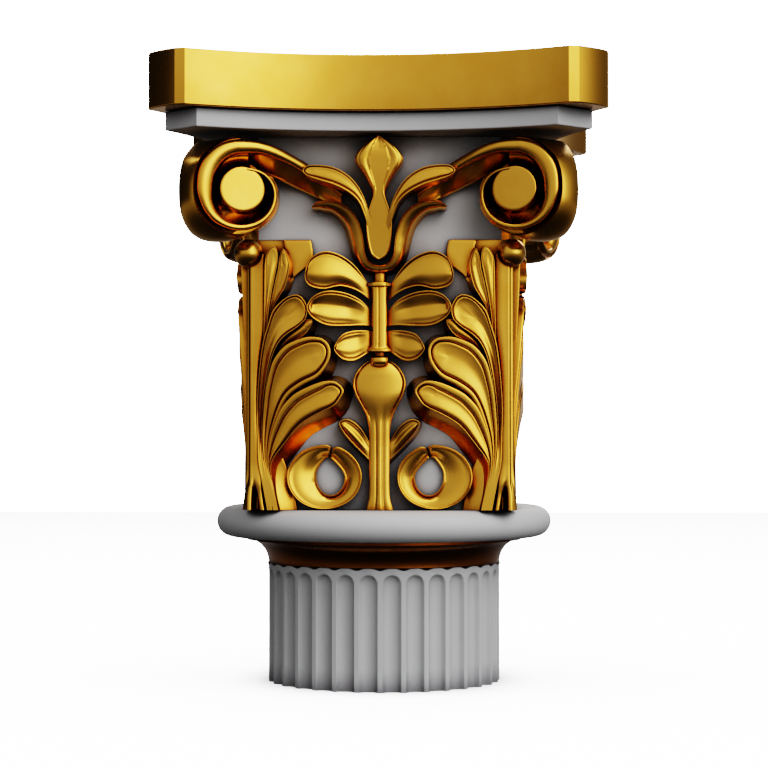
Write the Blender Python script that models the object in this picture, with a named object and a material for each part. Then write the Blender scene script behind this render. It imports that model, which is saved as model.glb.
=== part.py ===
# Column capital with acanthus leaves and corner volutes, on the top of its fluted shaft
# Metres, +Z up, the underside of the shaft on z = 0 and the column's axis on z
import math

import bmesh
import bpy
from mathutils import Matrix, Vector

# Clearance between pieces that touch
GAP = 0.0003

# Fluted shaft, cut off flat below
SHAFT_RADIUS = 0.1175
SHAFT_LENGTH = 0.120
FLUTES = 32
FLUTE_DEPTH = 0.0055
FLUTE_LAND = 0.0065
FLUTE_HEAD_DROP = 0.007
FLUTE_HEAD_RISE = 0.009

# Turned cove under the ring
COVE_HEIGHT = 0.026
COVE_TOP_RADIUS = 0.1395
COVE_LIP = 0.003
COVE_FACETS = 32
COVE_STEPS = 3

# Ring with a round edge, which carries the bell
RING_RADIUS = 0.170
RING_HEIGHT = 0.030
RING_FACETS = 32
RING_STEPS = 5

# Bell, square in plan
BELL_HALF = 0.1175
BELL_HEIGHT = 0.360

# Abacus: a gold slab on a grey bed, four hollow sides and cut corners
SLAB_HEIGHT = 0.053
SLAB_HALF = 0.220
SLAB_CORNER_CUT = 0.0455
SLAB_HOLLOW = 0.0495
SLAB_BEVEL = 0.004
SLAB_CORNER_BEVEL = 0.0055
BED_HEIGHT = 0.018
BED_INSET = 0.0155
SIDE_STEPS = 7

# Volutes at the four corners
VOLUTE_RADIUS = 0.0505
VOLUTE_TOP_GAP = 0.002
VOLUTE_EYE_OUT = 0.0105
VOLUTE_FACE_OUT = 0.056
VOLUTE_FACE_TURN = math.radians(19.0)
VOLUTE_NOSE = 0.006
VOLUTE_EYE_RADIUS = 0.0208
VOLUTE_EYE_DROP = 0.003
VOLUTE_REACH_OUT = 0.037
VOLUTE_REACH_IN = 0.034
VOLUTE_RIM = 0.010
VOLUTE_CHANNEL_DEPTH = 0.012
VOLUTE_EYE_SINK = 0.002
VOLUTE_EYE_FLARE = 0.003
VOLUTE_FACETS = 12
STEM_SINK = 0.001
STEM_HOLLOW = 0.004

# Corner leaf: an angle plate over the bell's corner, with the leaf cast on it
PLATE_THICKNESS = 0.0045
PLATE_EDGE = 0.066
LEAF_BAND_OUT = 0.011
BALL_RADIUS = 0.0130
BALL_OUT = 0.0098

# Ornament on each face: how far its pieces stand off the bell
TONGUE_BACK = 0.0060
SPINE_WEB = 0.0085
ROD_HALF = 0.007
ROD_OUT = 0.016
BUD_OUT = 0.033
LEAF_TONGUE_BACK = 0.0220
CURL_STEPS = 10

# Points closer than this are one, and faces flatter to each other than this are joined
WELD = 0.00001
FLAT_ANGLE = math.radians(0.2)

# The carving is drawn in millimetres on a face 117.5 each side of its middle and 360 high:
# the volutes take the top band of it, the leaves and petals all that is below
DRAWN_HALF = 117.5
DRAWN_HEIGHT = 360.0
DRAWN_VOLUTE_FOOT = 256.0

SIDES = ["front", "right", "back", "left"]
CORNERS = ["front_right", "back_right", "back_left", "front_left"]

# Levels, from the underside up
COVE_FOOT = SHAFT_LENGTH + GAP
RING_FOOT = COVE_FOOT + COVE_HEIGHT + GAP
BELL_FOOT = RING_FOOT + RING_HEIGHT + GAP
BED_FOOT = BELL_FOOT + BELL_HEIGHT + GAP
SLAB_FOOT = BED_FOOT + BED_HEIGHT + GAP
BELL_TOP = BELL_FOOT + BELL_HEIGHT
VOLUTE_BAND = 2.0 * VOLUTE_RADIUS + VOLUTE_TOP_GAP + GAP
EYE_LEVEL = BELL_TOP - VOLUTE_TOP_GAP - VOLUTE_RADIUS
ORNAMENT_BACK = BELL_HALF + GAP


def level(drawn):
    """Height above the underside of a height on the drawing."""
    if drawn > DRAWN_VOLUTE_FOOT:
        share = (DRAWN_HEIGHT - drawn) / (DRAWN_HEIGHT - DRAWN_VOLUTE_FOOT)
        return BELL_TOP - share * VOLUTE_BAND
    return BELL_FOOT + GAP + drawn / DRAWN_VOLUTE_FOOT * (BELL_HEIGHT - VOLUTE_BAND - GAP)


def across(drawn):
    """Distance from the middle of the face of a distance on the drawing."""
    return drawn / DRAWN_HALF * BELL_HALF


def out(distance):
    """Distance from the column's axis of something that stands off the bell's face."""
    return BELL_HALF + distance


def paint(name, colour, roughness, metallic):
    """Plain material with the finish of one sub-part."""
    made = bpy.data.materials.new(name)
    made.use_nodes = True
    shader = made.node_tree.nodes["Principled BSDF"]
    shader.inputs["Base Color"].default_value = (*colour, 1.0)
    shader.inputs["Roughness"].default_value = roughness
    shader.inputs["Metallic"].default_value = metallic
    return made


def add_object(name, mesh, quarter=0):
    """Object in the scene, turned by quarters round the column's axis."""
    made = bpy.data.objects.new(name, mesh)
    made.rotation_euler.z = quarter * math.pi / 2
    bpy.context.scene.collection.objects.link(made)
    return made


def mesh_from(name, shape, material=None):
    """Mesh data from an edited shape, its faces turned outward."""
    bmesh.ops.recalc_face_normals(shape, faces=shape.faces)
    mesh = bpy.data.meshes.new(name)
    shape.to_mesh(mesh)
    shape.free()
    mesh.materials.append(material)
    return mesh


def loft(rings, closed=False):
    """Closed shape through rings of points, capped at its ends or joined end to end."""
    shape = bmesh.new()
    rows = [[shape.verts.new(point) for point in ring] for ring in rings]
    pairs = list(zip(rows, rows[1:]))
    if closed:
        pairs.append((rows[-1], rows[0]))
    for lower, upper in pairs:
        for i in range(len(lower)):
            j = (i + 1) % len(lower)
            shape.faces.new((lower[i], lower[j], upper[j], upper[i]))
    if not closed:
        shape.faces.new(rows[0])
        shape.faces.new(rows[-1])
    return shape


def turned(name, profile, facets, material):
    """Round piece from a profile of radius and height, bottom to top."""
    rings = []
    for radius, height in profile:
        angles = [math.tau * i / facets for i in range(facets)]
        rings.append([(radius * math.cos(a), radius * math.sin(a), height) for a in angles])
    mesh = mesh_from(name, loft(rings), material)
    mesh.shade_smooth()
    mesh.set_sharp_from_angle(angle=math.radians(30.0))
    return add_object(name, mesh)


def fluted_shaft(material):
    """Shaft with round-bottomed flutes that end in round heads under its top."""
    pitch = math.tau / FLUTES
    land = FLUTE_LAND / SHAFT_RADIUS
    dips = [(0.0, 0.0), (0.28, 0.95), (0.72, 0.95), (1.0, 0.0)]
    head_top = SHAFT_LENGTH - FLUTE_HEAD_DROP
    rows = [(0.0, 1.0), (head_top - FLUTE_HEAD_RISE, 1.0), (head_top, 0.0), (SHAFT_LENGTH, 0.0)]
    rings = []
    for height, share in rows:
        ring = []
        for flute in range(FLUTES):
            for along, dip in dips:
                angle = flute * pitch + land / 2 + along * (pitch - land)
                radius = SHAFT_RADIUS - FLUTE_DEPTH * dip * share
                ring.append((radius * math.cos(angle), radius * math.sin(angle), height))
        rings.append(ring)
    return add_object("fluted_shaft", mesh_from("fluted_shaft", loft(rings), material))


def cove(material):
    """Hollow moulding that spreads from the shaft to the ring's underside."""
    spread = COVE_TOP_RADIUS - SHAFT_RADIUS
    rise = COVE_HEIGHT - COVE_LIP
    profile = []
    for i in range(COVE_STEPS + 1):
        turn = math.pi / 2 * i / COVE_STEPS
        radius = SHAFT_RADIUS + spread * (1.0 - math.cos(turn))
        profile.append((radius, COVE_FOOT + rise * math.sin(turn)))
    profile.append((COVE_TOP_RADIUS, COVE_FOOT + COVE_HEIGHT))
    return turned("necking_cove", profile, COVE_FACETS, material)


def ring(material):
    """Disc with a half-round edge."""
    half = RING_HEIGHT / 2
    profile = []
    for i in range(RING_STEPS + 1):
        turn = math.pi * (i / RING_STEPS - 0.5)
        radius = RING_RADIUS - half + half * math.cos(turn)
        profile.append((radius, RING_FOOT + half + half * math.sin(turn)))
    return turned("astragal_ring", profile, RING_FACETS, material)


def bell(material):
    """Square block that the ornament covers."""
    corners = [(-1, -1), (1, -1), (1, 1), (-1, 1)]
    rings = [[(x * BELL_HALF, y * BELL_HALF, z) for x, y in corners] for z in (BELL_FOOT, BELL_TOP)]
    return add_object("bell", mesh_from("bell", loft(rings), material))


def abacus_outline(inset):
    """Plan of the abacus, set in from the slab's edge: hollow sides and cut corners."""
    chord = SLAB_HALF - SLAB_CORNER_CUT
    radius = (chord ** 2 + SLAB_HOLLOW ** 2) / (2.0 * SLAB_HOLLOW)
    centre = SLAB_HALF - SLAB_HOLLOW + radius
    cut_line = 2.0 * SLAB_HALF - SLAB_CORNER_CUT - inset * math.sqrt(2.0)
    shift = centre - cut_line
    side_radius = radius + inset
    reach = (math.sqrt(2.0 * side_radius ** 2 - shift ** 2) - shift) / 2.0
    corner = Vector((reach, math.sqrt(side_radius ** 2 - reach ** 2) - centre))
    step = SLAB_CORNER_BEVEL / math.sqrt(2.0)
    side = [Vector((-corner.x - step, corner.y + step))]
    for i in range(SIDE_STEPS + 1):
        x = (reach - SLAB_CORNER_BEVEL) * (2.0 * i / SIDE_STEPS - 1.0)
        side.append(Vector((x, math.sqrt(side_radius ** 2 - x ** 2) - centre)))
    side.append(Vector((corner.x + step, corner.y + step)))
    points = []
    for quarter in range(4):
        turn = Matrix.Rotation(quarter * math.pi / 2, 2)
        points += [turn @ point for point in side]
    return points


def abacus_piece(name, levels, material):
    """Piece of the abacus from levels of height and inset."""
    rings = [[(p.x, p.y, z) for p in abacus_outline(edge)] for z, edge in levels]
    return add_object(name, mesh_from(name, loft(rings), material))


def abacus(stone, gold):
    """Grey bed, and the slab on it with a small bevel round its top and bottom edges."""
    bed = [(BED_FOOT, BED_INSET), (BED_FOOT + BED_HEIGHT, BED_INSET)]
    top = SLAB_FOOT + SLAB_HEIGHT
    slab = [(SLAB_FOOT, SLAB_BEVEL), (SLAB_FOOT + SLAB_BEVEL, 0.0), (top - SLAB_BEVEL, 0.0), (top, SLAB_BEVEL)]
    abacus_piece("abacus_bed", bed, stone)
    abacus_piece("abacus_slab", slab, gold)


def face_point(x, z, distance):
    """Point on the front face from the drawing's millimetres, and millimetres off the bell."""
    return Vector((across(x), -out(distance / 1000.0), level(z)))


def along_curve(points, share):
    """Point and left-hand normal on a smooth curve through its start, its pull points and its end."""
    work = [Vector(point) for point in points]
    while len(work) > 2:
        work = [a.lerp(b, share) for a, b in zip(work, work[1:])]
    heading = (work[1] - work[0]).normalized()
    return work[0].lerp(work[1], share), Vector((-heading.y, heading.x))


def blade_half_width(blade, share):
    """Half width of a leaf or petal: it swells to its widest place and ends in a round tip."""
    if share < blade["widest"]:
        swell = math.sin(math.pi / 2 * share / blade["widest"])
        return blade["root_half"] + (blade["half"] - blade["root_half"]) * swell
    past = (share - blade["widest"]) / (1.0 - blade["widest"])
    return blade["half"] * math.sqrt(1.0 - (1.0 - blade["tip"] ** 2) * past ** 2)


def blade_shape(blade):
    """Leaf or petal: hollow in front between two raised edges, with walls down to its back."""
    steps = blade.get("steps", 3)
    rings = []
    for i in range(steps + 1):
        share = i / steps
        middle, normal = along_curve(blade["line"], share)
        half = blade_half_width(blade, share)
        lift = blade["lift"][0] + (blade["lift"][1] - blade["lift"][0]) * share
        dish = blade["dish"] * math.sin(math.pi * min(0.25 + share, 1.0))
        left = middle + normal * half
        right = middle - normal * half
        rings.append([
            face_point(*(left + normal * blade["flare"][0] * (0.3 + 0.7 * share)), blade["back"]),
            face_point(*left, lift),
            face_point(*middle, lift - dish),
            face_point(*right, lift),
            face_point(*(right - normal * blade["flare"][1] * (0.3 + 0.7 * share)), blade["back"]),
        ])
    return loft(rings)


def spine_shape(rows, back, flare):
    """Upright member: rows of height, half width, and how far its edge and its ridge stand out."""
    rings = []
    for height, half, edge, ridge in rows:
        rings.append([
            face_point(-half - flare, height, back),
            face_point(-half, height, edge),
            face_point(0.0, height, ridge),
            face_point(half, height, edge),
            face_point(half + flare, height, back),
        ])
    return loft(rings)


def block_shape(x_low, x_high, z_low, z_high, back, front):
    """Plain block of the casting's back."""
    rings = []
    for z in (z_low, z_high):
        rings.append([
            face_point(x_low, z, back),
            face_point(x_high, z, back),
            face_point(x_high, z, front),
            face_point(x_low, z, front),
        ])
    return loft(rings)


def band_shape(line, steps, half, lift, back, flare):
    """Band of one width along a curve, with flared walls."""
    rings = []
    for i in range(steps + 1):
        share = i / steps
        middle, normal = along_curve(line, share)
        front = lift[0] + (lift[1] - lift[0]) * share
        rings.append([
            face_point(*(middle + normal * half), back),
            face_point(*(middle + normal * half), front),
            face_point(*(middle - normal * half), front),
            face_point(*(middle - normal * (half + flare)), back),
        ])
    return loft(rings)


def mirrored(shape, swap):
    """Copy of a shape with each point moved by a swap."""
    made = shape.copy()
    for vertex in made.verts:
        vertex.co = swap(vertex.co)
    return made


def fused(name, shapes, material):
    """One solid from overlapping shapes."""
    parts = [add_object(name, mesh_from(name, shape)) for shape in shapes]
    for part in parts[1:]:
        joint = parts[0].modifiers.new("union", "BOOLEAN")
        joint.operation = "UNION"
        joint.solver = "EXACT"
        joint.object = part
    graph = bpy.context.evaluated_depsgraph_get()
    joined = bpy.data.meshes.new_from_object(parts[0].evaluated_get(graph))
    for part in parts:
        bpy.data.objects.remove(part)
    tidy = bmesh.new()
    tidy.from_mesh(joined)
    bpy.data.meshes.remove(joined)
    bmesh.ops.remove_doubles(tidy, verts=tidy.verts, dist=WELD)
    bmesh.ops.dissolve_limit(tidy, angle_limit=FLAT_ANGLE, verts=tidy.verts, edges=tidy.edges)
    loose = [edge for edge in tidy.edges if not edge.link_faces]
    bmesh.ops.delete(tidy, geom=loose, context="EDGES")
    return mesh_from(name, tidy, material)


def repeat_round(name, places, shapes, material):
    """The same casting at four places round the bell, a quarter turn apart."""
    mesh = fused(name, shapes, material)
    for quarter, place in enumerate(places):
        add_object(name + "_" + place, mesh, quarter)


def other_side(point):
    """The same place on the other half of the face."""
    return Vector((-point.x, point.y, point.z))


def round_the_corner(point):
    """The same place on the next face, past the bell's front right corner."""
    return Vector((-point.y, -point.x, point.z))


def petals():
    """Right-hand petals, leaves and calyx of the face ornament."""
    back = 1000.0 * TONGUE_BACK
    petal = {"root_half": 4.0, "tip": 0.45, "widest": 0.62, "dish": 4.0, "flare": (0.0, 0.0), "back": back}
    upper = dict(petal, line=[(4, 208), (32, 240), (70, 229)], half=17.5, lift=(13, 26))
    middle = dict(petal, line=[(4, 184), (30, 196), (68, 193)], half=16.5, lift=(13, 26))
    lower = dict(petal, line=[(4, 163), (22, 160), (43, 157)], half=13.5, lift=(13, 22), root_half=7.0)
    small = dict(petal, line=[(7, 52), (21, 68), (37, 84)], half=7.5, lift=(9, 16), dish=2.0, steps=2)
    tongue = dict(petal, line=[(8, 281), (16, 324), (72, 325)], half=7.5, lift=(31, 34), dish=2.5)
    tongue["back"] = 1000.0 * LEAF_TONGUE_BACK
    return [upper, middle, lower, small, tongue]


def curl_shape():
    """Open curl of a leaf, lying on its side at the foot of the stem."""
    back = 1000.0 * TONGUE_BACK
    rings = []
    for i in range(CURL_STEPS):
        turn = math.tau * i / CURL_STEPS
        x, z = math.cos(turn), math.sin(turn)
        rings.append([
            face_point(53 + 36.5 * x, 32 + 30.5 * z, back),
            face_point(53 + 36.5 * x, 32 + 30.5 * z, 10),
            face_point(50.5 + 26 * x, 32 + 24 * z, 15),
            face_point(48 + 13 * x, 32 + 16.5 * z, back),
        ])
    return loft(rings, closed=True)


def face_ornaments(material):
    """Casting on each face: bud and calyx over a rod with six petals, over a drop and its stem."""
    back = 1000.0 * GAP
    bud_out = 1000.0 * BUD_OUT
    bud = [
        (233, 4, 16, 19), (245, 7, 18, 22), (258, 11.5, 19, 25), (280, 12.5, 21, 28), (303, 5.5, 23, 30),
        (320, 14, 22, bud_out), (338, 23, 22, bud_out), (358, 2, 24, 30),
    ]
    drop = [
        (0.5, 12.5, 11, 14), (12, 10, 11, 14), (82, 10, 10, 14),
        (113, 24, 9, 17), (126, 25, 9, 17), (143, 8, 9, 13),
    ]
    rod_half = 1000.0 * ROD_HALF
    rod_out = 1000.0 * ROD_OUT
    rod_rows = [
        (138, 1.1, -2), (152, 1.1, -2), (153, 1.65, 3), (158, 1.65, 3), (159, 1.0, 0),
        (216, 1.0, 0), (217, 1.75, 4), (223, 1.75, 4), (230, 1.2, 0),
    ]
    rod = [(z, rod_half * wide, rod_out + more - 3, rod_out + more) for z, wide, more in rod_rows]
    calyx_foot = [(0, 232.5), (14, 232.5), (17, 245), (18.5, 258)]
    calyx_leaf = [(18.5, 256), (22, 276), (32, 303), (65, 287)]
    right = [blade_shape(blade) for blade in petals()]
    right.append(band_shape(calyx_leaf, 3, 4.6, (20, 24), back, 3.0))
    right.append(band_shape(calyx_foot, 2, 4.4, (17, 21), back + 0.4, 3.4))
    right.append(curl_shape())
    shapes = [spine_shape(bud, back, 0.0), spine_shape(drop, back, 0.0), spine_shape(rod, back, 0.0)]
    shapes += right
    shapes += [mirrored(shape, other_side) for shape in right]
    shapes += [
        block_shape(-17, 17, 226, 292, back, 1000.0 * SPINE_WEB),
        block_shape(-30, 30, 24, 38, back, 1000.0 * SPINE_WEB),
    ]
    repeat_round("face_ornament", SIDES, shapes, material)


def corner_leaves(material):
    """Casting over each corner of the bell: an angle plate, a folded leaf with four lobes a side, a ball."""
    back = 1000.0 * GAP
    plate = 1000.0 * PLATE_THICKNESS
    edge = DRAWN_HALF + plate
    band = 1000.0 * LEAF_BAND_OUT
    fold = DRAWN_HALF + band
    low_back = 1.4
    lobe = {"root_half": 8.0, "tip": 0.5, "widest": 0.6, "dish": 4.0, "flare": (0.0, 0.0), "back": low_back}
    lobes = [
        dict(lobe, line=[(106, 46), (92, 112), (35, 114)], half=11.5, lift=(8, 24), flare=(14.0, 0.0)),
        dict(lobe, line=[(106, 96), (88, 152), (48, 147)], half=18.0, lift=(8, 23), root_half=10.0),
        dict(lobe, line=[(108, 150), (98, 188), (71, 187)], half=17.0, lift=(8, 23), root_half=10.0),
        dict(lobe, line=[(105, 196), (97, 225), (98, 254)], half=10.5, lift=(9, 17), tip=0.6),
    ]
    rib_rows = [(0.4, 97.0, 1.3), (40.0, 105.0, 1.1), (110.0, 109.0, 1.0), (240.0, 113.0, 1.0)]
    rib = []
    for height, inner, rise in rib_rows:
        rib.append([
            face_point(inner, height, low_back),
            face_point(inner + 3.0, height, band * rise - 1.5),
            face_point(fold - 3.0, height, band * rise),
            face_point(fold, height, band * rise - 2.5),
            face_point(fold - 3.0, height, low_back),
        ])
    foot_edge = 1000.0 * PLATE_EDGE + 26.0
    outline = [(foot_edge - 12.0, 0.2), (edge, 0.2), (edge, 254.0), (1000.0 * PLATE_EDGE, 254.0)]
    outline += [(1000.0 * PLATE_EDGE, 236.0), (foot_edge, 190.0), (foot_edge, 20.0)]
    rings = [[face_point(x, z, depth) for x, z in outline] for depth in (back, plate)]
    half = [loft(rings), loft(rib)] + [blade_shape(blade) for blade in lobes]
    shapes = half + [mirrored(shape, round_the_corner) for shape in half]
    ball_level = level(DRAWN_VOLUTE_FOOT) - BALL_RADIUS - GAP
    ball = bmesh.new()
    bmesh.ops.create_icosphere(ball, subdivisions=1, radius=BALL_RADIUS)
    place = out(BALL_OUT)
    bmesh.ops.translate(ball, verts=ball.verts, vec=(place, -place, ball_level))
    shapes.append(ball)
    repeat_round("corner_leaf", CORNERS, shapes, material)


def volute_ring(share, rim, sink):
    """Outline of the scroll between its faces: share is +1 at the front one and -1 at the side one."""
    nose = VOLUTE_NOSE * (1.0 - share ** 2)
    points = []
    for i in range(VOLUTE_FACETS):
        turn = math.tau * i / VOLUTE_FACETS
        reach = VOLUTE_REACH_OUT if math.sin(turn) > 0 else VOLUTE_REACH_IN
        fall = VOLUTE_RADIUS if math.cos(turn) > 0 else VOLUTE_RADIUS - VOLUTE_NOSE + nose
        aside = (reach - rim) * math.sin(turn)
        height = EYE_LEVEL + (fall - rim) * math.cos(turn)
        points.append(volute_point(aside, height, share, sink, nose * math.sin(turn)))
    return points


def eye_ring(share, radius, sink):
    """Circle round the scroll's eye, on the front or the side face."""
    points = []
    for i in range(VOLUTE_FACETS):
        turn = math.tau * i / VOLUTE_FACETS
        height = EYE_LEVEL - VOLUTE_EYE_DROP + radius * math.cos(turn)
        points.append(volute_point(radius * math.sin(turn), height, share, sink, 0.0))
    return points


def volute_point(aside, height, share, sink, nose):
    """Point on the scroll from its distance aside of the eye, on the front face or turned towards the side."""
    x = out(VOLUTE_EYE_OUT) + aside
    y = out(VOLUTE_FACE_OUT) + math.tan(VOLUTE_FACE_TURN) * aside - sink
    along = (x + y) / 2.0 + nose
    turned_by = (y - x) / 2.0 * share
    return Vector((along - turned_by, -along - turned_by, height))


def stem_shape():
    """Stem that climbs from behind the calyx, over the bell's face, to the top of the scroll."""
    eye = out(VOLUTE_EYE_OUT)
    top = EYE_LEVEL + VOLUTE_RADIUS
    lean = math.tan(VOLUTE_FACE_TURN)
    rows = [
        (across(46), level(316), level(304), out(0.0165)),
        (across(74), level(343), level(309), out(0.0205)),
        (eye - 0.042, top - 0.0080, EYE_LEVEL + 0.010, out(VOLUTE_FACE_OUT - lean * 0.042 - STEM_SINK)),
        (eye - 0.022, top - 0.0015, EYE_LEVEL + 0.018, out(VOLUTE_FACE_OUT - lean * 0.022 - STEM_SINK)),
        (eye - 0.006, top - 0.0010, EYE_LEVEL + 0.030, out(VOLUTE_FACE_OUT - lean * 0.006 - 4 * STEM_SINK)),
    ]
    rings = []
    for x, upper, lower, front in rows:
        rings.append([
            (x, -ORNAMENT_BACK, upper),
            (x, -front, upper),
            (x, STEM_HOLLOW - front, lower),
            (x, -ORNAMENT_BACK, lower),
        ])
    return loft(rings)


def corner_volutes(material):
    """Scroll under each corner of the abacus, with an eye on both its faces and a stem on each."""
    faces = []
    for share in (1, -1):
        faces.append([
            eye_ring(share, VOLUTE_EYE_RADIUS, VOLUTE_EYE_SINK),
            eye_ring(share, VOLUTE_EYE_RADIUS + VOLUTE_EYE_FLARE, VOLUTE_CHANNEL_DEPTH),
            volute_ring(share, VOLUTE_RIM, 0.0),
            volute_ring(share, 0.0, 0.0),
        ])
    front, side = faces
    scroll = loft(front + [volute_ring(0.0, 0.0, 0.0)] + side[::-1])
    stem = stem_shape()
    shapes = [scroll, stem, mirrored(stem, round_the_corner)]
    repeat_round("corner_volute", CORNERS, shapes, material)


def build():
    """All pieces of the capital, from the shaft up."""
    for old in list(bpy.data.objects):
        bpy.data.objects.remove(old)
    stone = paint("grey_stone", (0.36, 0.36, 0.37), 0.6, 0.0)
    gold = paint("satin_gold", (0.83, 0.53, 0.12), 0.25, 1.0)
    fluted_shaft(stone)
    cove(gold)
    ring(stone)
    bell(stone)
    corner_leaves(gold)
    face_ornaments(gold)
    corner_volutes(gold)
    abacus(stone, gold)


build()
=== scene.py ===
import bpy
from math import atan2, cos, degrees, exp, hypot, pi, radians, sin, sqrt, tan, tau
from mathutils import Matrix, Vector


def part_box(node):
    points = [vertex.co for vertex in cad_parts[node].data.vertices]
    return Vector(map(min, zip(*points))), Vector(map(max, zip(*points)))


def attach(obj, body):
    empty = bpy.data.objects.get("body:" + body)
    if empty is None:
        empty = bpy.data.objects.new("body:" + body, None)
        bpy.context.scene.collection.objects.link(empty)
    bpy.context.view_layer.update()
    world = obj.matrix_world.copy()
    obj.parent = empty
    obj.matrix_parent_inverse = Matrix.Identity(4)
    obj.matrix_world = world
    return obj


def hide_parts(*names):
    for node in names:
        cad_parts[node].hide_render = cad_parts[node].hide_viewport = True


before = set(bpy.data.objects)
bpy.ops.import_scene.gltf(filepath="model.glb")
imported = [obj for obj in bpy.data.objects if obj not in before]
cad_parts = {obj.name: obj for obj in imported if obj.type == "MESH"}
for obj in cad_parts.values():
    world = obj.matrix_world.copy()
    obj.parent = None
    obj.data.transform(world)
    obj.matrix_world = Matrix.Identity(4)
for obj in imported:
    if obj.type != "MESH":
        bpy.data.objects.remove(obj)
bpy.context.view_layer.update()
bpy.ops.object.select_all(action="DESELECT")

sideNames = ["front", "right", "back", "left"]
cornerNames = ["front_right", "back_right", "back_left", "front_left"]

# the carving is drawn in millimetres on the bell's front face: across from the
# middle, up from the foot, and out from the face
bellLow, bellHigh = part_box("bell")
drawing = {"half": 117.5, "height": 360.0, "back": 0.4}    # the castings' backs stand clear of the face
perMm = bellHigh.x / drawing["half"]
perMmUp = (bellHigh.z - bellLow.z) / drawing["height"]


def onFace(x, z, out):
    return Vector((x * perMm, -(bellHigh.x + out * perMm), bellLow.z + max(z, 0.0) * perMmUp))


# curves

def between(a, b, c, d, t):    # from b to c on a curve through all four
    return 0.5 * (2 * b + (c - a) * t + (2 * a - 5 * b + 4 * c - d) * t * t
                  + (3 * b - a - 3 * c + d) * t ** 3)


def smoothCurve(points, perSpan=16):
    points = [Vector(p) for p in points]
    ends = [points[0] * 2 - points[1]] + points + [points[-1] * 2 - points[-2]]
    curve = []
    for four in zip(ends, ends[1:], ends[2:], ends[3:]):
        curve += [between(*four, step / perSpan) for step in range(perSpan)]
    return curve + [points[-1]]


def evenly(curve, count):    # the same curve in steps of one length
    lengths = [0.0]
    for a, b in zip(curve, curve[1:]):
        lengths.append(lengths[-1] + (b - a).length)
    made, k = [], 0
    for i in range(count + 1):
        goal = lengths[-1] * i / count
        while k < len(curve) - 2 and lengths[k + 1] < goal:
            k += 1
        span = lengths[k + 1] - lengths[k]
        made.append(curve[k].lerp(curve[k + 1], (goal - lengths[k]) / span if span else 0.0))
    return made


def read(values, t):    # a smooth value from (place, value) pairs, flat at each of them
    if t <= values[0][0]:
        return values[0][1]
    for (a, low), (b, high) in zip(values, values[1:]):
        if t <= b:
            share = (t - a) / (b - a)
            return low + (high - low) * share * share * (3 - 2 * share)
    return values[-1][1]


def readCurve(values, t):    # a curve through the pairs
    curve = smoothCurve(values, 8)
    for a, b in zip(curve, curve[1:]):
        if t <= b.x:
            return a.y + (b.y - a.y) * max(0.0, (t - a.x) / max(b.x - a.x, 1e-9))
    return curve[-1].y


def flowing(values, t):    # a curve through evenly spaced values
    k = min(int(t * (len(values) - 1)), len(values) - 2)
    ends = [2 * values[0] - values[1]] + values + [2 * values[-1] - values[-2]]
    return between(*ends[k:k + 4], t * (len(values) - 1) - k)


# shapes: every one starts as a grid whose rows become the rings of a closed skin

def skin(name, rings):
    rings = [ring + [ring[0]] for ring in rings]
    bpy.ops.object.select_all(action="DESELECT")
    bpy.ops.mesh.primitive_grid_add(x_subdivisions=len(rings[0]) - 1, y_subdivisions=len(rings) - 1, size=1)
    piece = bpy.context.object
    piece.name = name
    for vertex, place in zip(piece.data.vertices, [p for ring in rings for p in ring]):
        vertex.co = place
    bpy.ops.object.mode_set(mode="EDIT")
    bpy.ops.mesh.select_all(action="SELECT")
    bpy.ops.mesh.remove_doubles(threshold=2e-6)
    bpy.ops.mesh.normals_make_consistent(inside=False)
    bpy.ops.object.mode_set(mode="OBJECT")
    return piece


def smooth(angle):    # round over edges that bend less than this
    bpy.ops.object.shade_smooth_by_angle(angle=radians(angle))


def closed(rings):    # the rings with both ends drawn together to a point
    first, last = ([sum(ring, Vector((0, 0, 0))) / len(ring)] * len(ring) for ring in (rings[0], rings[-1]))
    return [first] + rings + [last]


def pick(pieces):    # select these alone, with the first one active
    bpy.ops.object.select_all(action="DESELECT")
    for piece in pieces:
        piece.select_set(True)
    bpy.context.view_layer.objects.active = pieces[0]


def joined(name, pieces):
    pick(pieces)
    bpy.ops.object.join()
    made = bpy.context.object
    made.name = name
    smooth(50)
    return made


def copied(piece, name, swap):    # a copy with its own mesh, each point moved by swap
    pick([piece])
    bpy.ops.object.duplicate()
    made = bpy.context.object
    made.name = name
    for vertex in made.data.vertices:
        vertex.co = swap(vertex.co)
    return made


def flipped(piece, swap):    # a mirrored copy, its faces turned back outwards
    made = copied(piece, piece.name + "_m", swap)
    bpy.ops.object.mode_set(mode="EDIT")
    bpy.ops.mesh.select_all(action="SELECT")
    bpy.ops.mesh.flip_normals()
    bpy.ops.object.mode_set(mode="OBJECT")
    return made


def otherHalf(p):
    return Vector((-p.x, p.y, p.z))


def nextFace(p):
    return Vector((-p.y, -p.x, p.z))


def wear(piece, material):
    piece.data.materials.clear()
    piece.data.materials.append(material)


def dress(piece, node, material):    # its finish, and the node it stands for
    wear(piece, material)
    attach(piece, "root")
    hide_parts(node)


def castFour(name, places, gold, half, mirror, middle):    # a half, its mirror image and what is between
    half += [flipped(piece, mirror) for piece in half]
    first = joined(name, half + [make() for make in middle])
    for quarter, place in enumerate(places):
        turn = Matrix.Rotation(quarter * pi / 2, 3, "Z")
        node = name + "_" + place
        piece = copied(first, "carved_" + node, lambda p: turn @ p) if quarter else first
        piece.name = "carved_" + node
        dress(piece, node, gold)


# a leaf, petal or lobe: flared walls, a raised rim with a groove inside it, and its own section across

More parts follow.
